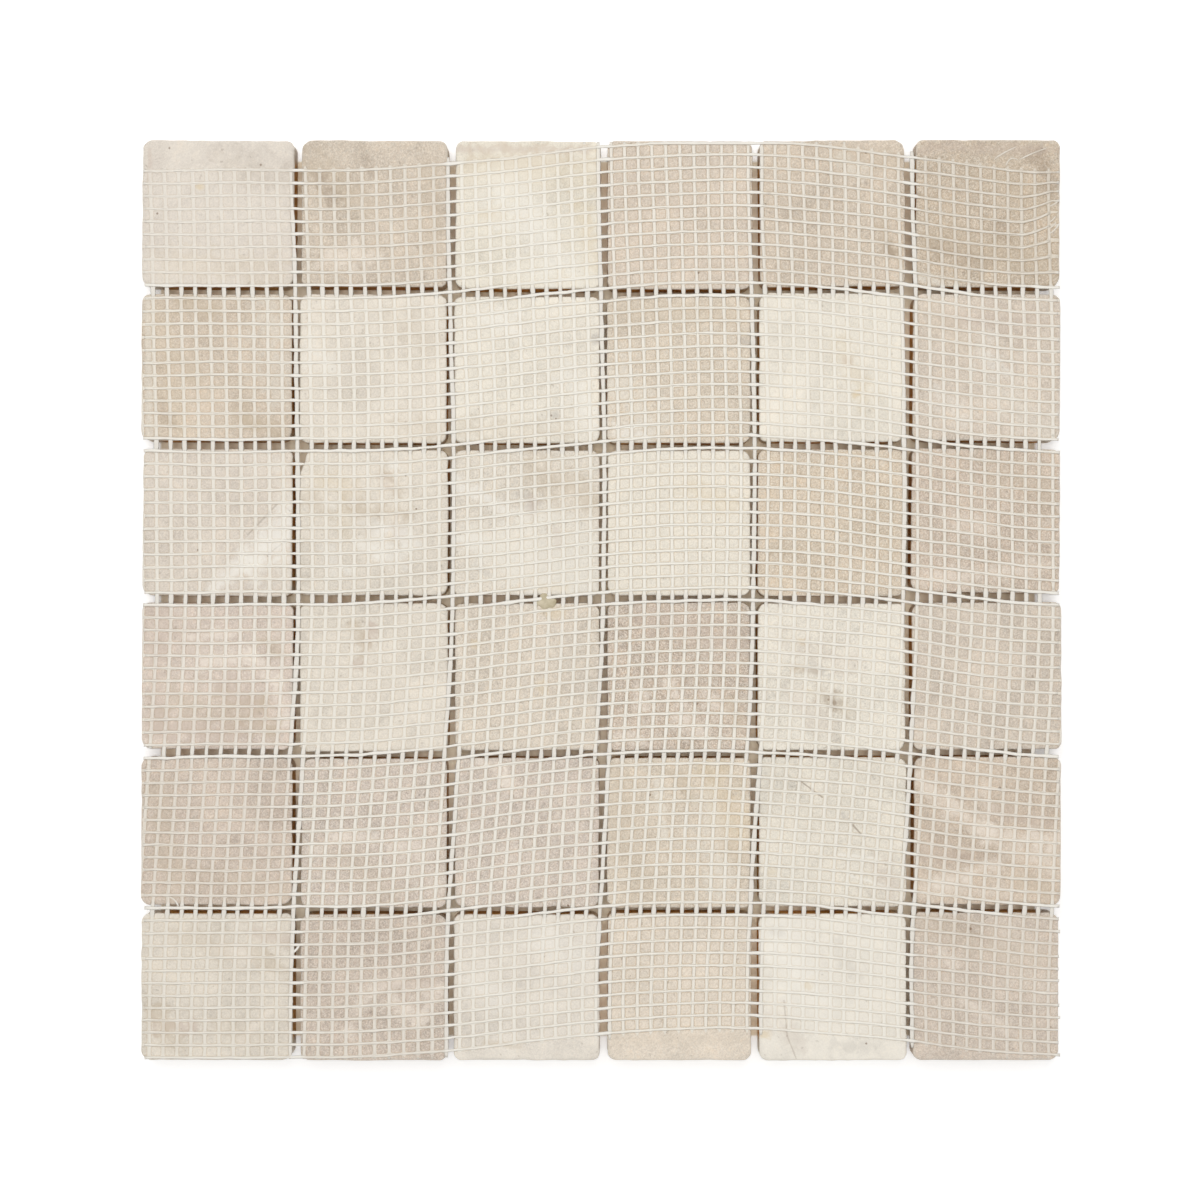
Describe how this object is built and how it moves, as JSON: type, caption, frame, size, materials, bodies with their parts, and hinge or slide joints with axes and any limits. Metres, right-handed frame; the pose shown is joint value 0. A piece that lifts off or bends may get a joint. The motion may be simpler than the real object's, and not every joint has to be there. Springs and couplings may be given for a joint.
{
  "type": "mosaic tile sheet",
  "caption": "Square sheet of tumbled marble chips lying face down, with an open fibre netting bonded across their backs to hold the grout joints.",
  "frame": {"origin": "middle of the sheet on the plane of the finished faces, which is its lowest plane", "axes": "+Z out of the netted back, +Y towards the upper edge of the sheet as seen from the back, +X to the right in that view"},
  "size_m": [0.3028, 0.3031, 0.0104],
  "materials": {
    "marble_ivory": "tumbled, matte",
    "marble_cream": "tumbled, matte",
    "marble_sand": "tumbled, matte",
    "marble_rose_tan": "tumbled, matte",
    "marble_tan": "tumbled, matte",
    "netting": "coated glass-fibre mesh, matte"
  },
  "bodies": {
    "root": {"tile_r1_c1": "marble_cream", "tile_r1_c2": "marble_sand", "tile_r1_c3": "marble_ivory", "tile_r1_c4": "marble_rose_tan", "tile_r1_c5": "marble_sand", "tile_r1_c6": "marble_tan", "tile_r2_c1": "marble_tan", "tile_r2_c2": "marble_cream", "tile_r2_c3": "marble_ivory", "tile_r2_c4": "marble_sand", "tile_r2_c5": "marble_ivory", "tile_r2_c6": "marble_sand", "tile_r3_c1": "marble_sand", "tile_r3_c2": "marble_cream", "tile_r3_c3": "marble_cream", "tile_r3_c4": "marble_ivory", "tile_r3_c5": "marble_tan", "tile_r3_c6": "marble_tan", "tile_r4_c1": "marble_rose_tan", "tile_r4_c2": "marble_cream", "tile_r4_c3": "marble_sand", "tile_r4_c4": "marble_tan", "tile_r4_c5": "marble_ivory", "tile_r4_c6": "marble_sand", "tile_r5_c1": "marble_rose_tan", "tile_r5_c2": "marble_rose_tan", "tile_r5_c3": "marble_rose_tan", "tile_r5_c4": "marble_sand", "tile_r5_c5": "marble_ivory", "tile_r5_c6": "marble_tan", "tile_r6_c1": "marble_cream", "tile_r6_c2": "marble_rose_tan", "tile_r6_c3": "marble_cream", "tile_r6_c4": "marble_rose_tan", "tile_r6_c5": "marble_ivory", "tile_r6_c6": "marble_rose_tan", "warps_c1": "netting", "warps_c2": "netting", "warps_c3": "netting", "warps_c4": "netting", "warps_c5": "netting", "warps_c6": "netting", "wefts_r1": "netting", "wefts_r2": "netting", "wefts_r3": "netting", "wefts_r4": "netting", "wefts_r5": "netting", "wefts_r6": "netting"}
  },
  "joints": []
}
